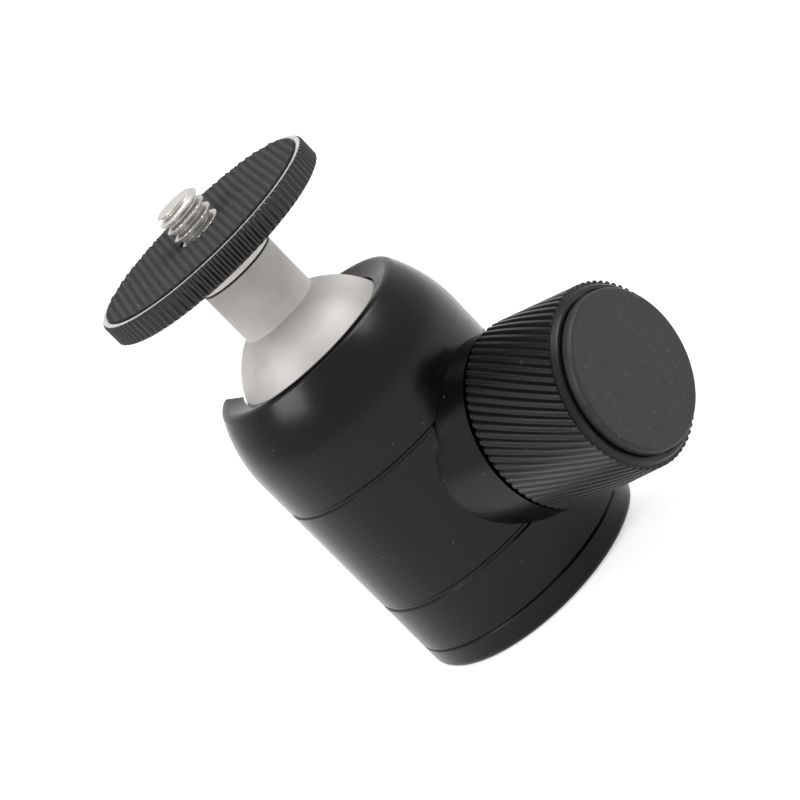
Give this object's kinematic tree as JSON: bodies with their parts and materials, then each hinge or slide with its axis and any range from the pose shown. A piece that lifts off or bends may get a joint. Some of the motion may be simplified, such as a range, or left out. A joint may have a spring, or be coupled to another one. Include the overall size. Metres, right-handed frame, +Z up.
{
  "type": "tripod ball head",
  "caption": "Small tripod ball head: a ball in a round housing, clamped by one side knob, with a padded camera platform and screw on its stem.",
  "frame": {"origin": "mouth of the threaded tripod socket, at the centre of the underside", "axes": "+Z up along the housing, +X along the clamp knob's axis"},
  "size_m": [0.0546, 0.034, 0.0674],
  "materials": {
    "black_anodised": "satin black anodised",
    "bare_aluminium": "fine blasted",
    "pad_rubber": "matte",
    "stainless": "turned",
    "spring_steel": "rolled",
    "brass": "turned",
    "acetal": "satin"
  },
  "bodies": {
    "head": {"housing": "black_anodised", "knob_collar": "black_anodised", "base_plate": "black_anodised", "thread_insert": "brass", "base_screws": "stainless", "guide_block": "bare_aluminium", "guide_pins": "stainless", "clamp_bush": "brass", "upper_seat": "acetal"},
    "wedge": {"wedge_pin": "stainless"},
    "knob": {"clamp_screw": "stainless", "retaining_clip": "spring_steel", "thrust_washer": "acetal", "knob_body": "black_anodised", "knob_screw": "stainless", "knob_cap": "black_anodised"},
    "lift": {"lifter": "bare_aluminium", "disc_spring": "spring_steel"},
    "seat": {"lower_seat": "acetal"},
    "ball": {"ball_stem": "bare_aluminium"},
    "top": {"stem_spacer": "bare_aluminium", "platform": "black_anodised", "rubber_pad": "pad_rubber", "camera_screw": "stainless"}
  },
  "joints": [
    {"name": "wedge_slide", "type": "slide", "parent": "head", "child": "wedge", "axis": [-1, 0, 0], "range_m": [0, 0.0006001]},
    {"name": "knob_turn", "type": "hinge", "parent": "head", "child": "knob", "pos_m": [0.0287, 0, 0.0199], "axis": [-1, 0, 0], "range_deg": [0, 216]},
    {"name": "lift_slide", "type": "slide", "parent": "head", "child": "lift", "axis": [0, 0, 1], "range_m": [0, 0.0002001]},
    {"name": "ball_pan", "type": "hinge", "parent": "head", "child": "seat", "pos_m": [0, 0, 0.0378], "axis": [0, 0, 1], "continuous": true},
    {"name": "ball_tilt", "type": "hinge", "parent": "seat", "child": "ball", "pos_m": [0, 0, 0.0378], "axis": [0, 1, 0], "range_deg": [-34, 34]},
    {"name": "ball_turn", "type": "hinge", "parent": "ball", "child": "top", "pos_m": [0, 0, 0.0378], "axis": [0, 0, 1], "continuous": true}
  ],
  "couplings": [
    {"joint": "wedge_slide", "follows": "knob_turn", "m_per_rad": 0.00015915},
    {"joint": "lift_slide", "follows": "knob_turn", "m_per_rad": 0.00005305}
  ]
}
